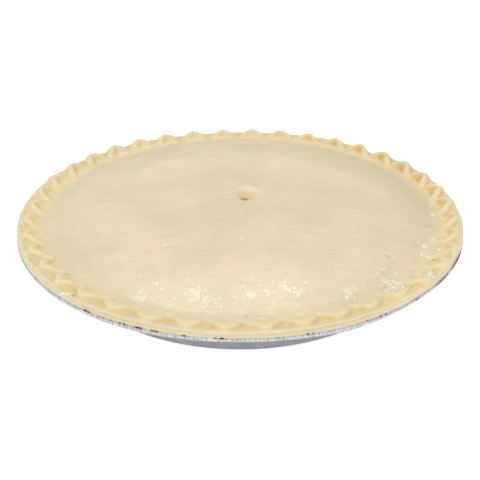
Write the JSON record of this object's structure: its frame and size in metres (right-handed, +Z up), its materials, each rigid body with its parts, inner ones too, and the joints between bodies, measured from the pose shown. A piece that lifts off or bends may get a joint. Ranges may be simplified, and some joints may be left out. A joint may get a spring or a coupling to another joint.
{
  "type": "lemon pie",
  "caption": "Round covered pie with a low domed pastry lid, a zigzag crimped rim and a small vent, in its shallow pressed foil tin.",
  "frame": {"origin": "centre of the tin's flat underside", "axes": "+Z up through the middle of the tin, -Y towards the front of the pie as pictured, +X to its right"},
  "size_m": [0.248, 0.248, 0.0413],
  "materials": {
    "foil": "thin pressed foil, bright and finely crinkled along the rolled rim, smooth and satin on the wall",
    "pastry": "pale unbaked shortcrust dough, satin with small wet-looking glints, warmer in the hollows of the crimp"
  },
  "bodies": {
    "root": {"foil_tin": "foil", "lemon_pie": "pastry"}
  },
  "joints": []
}
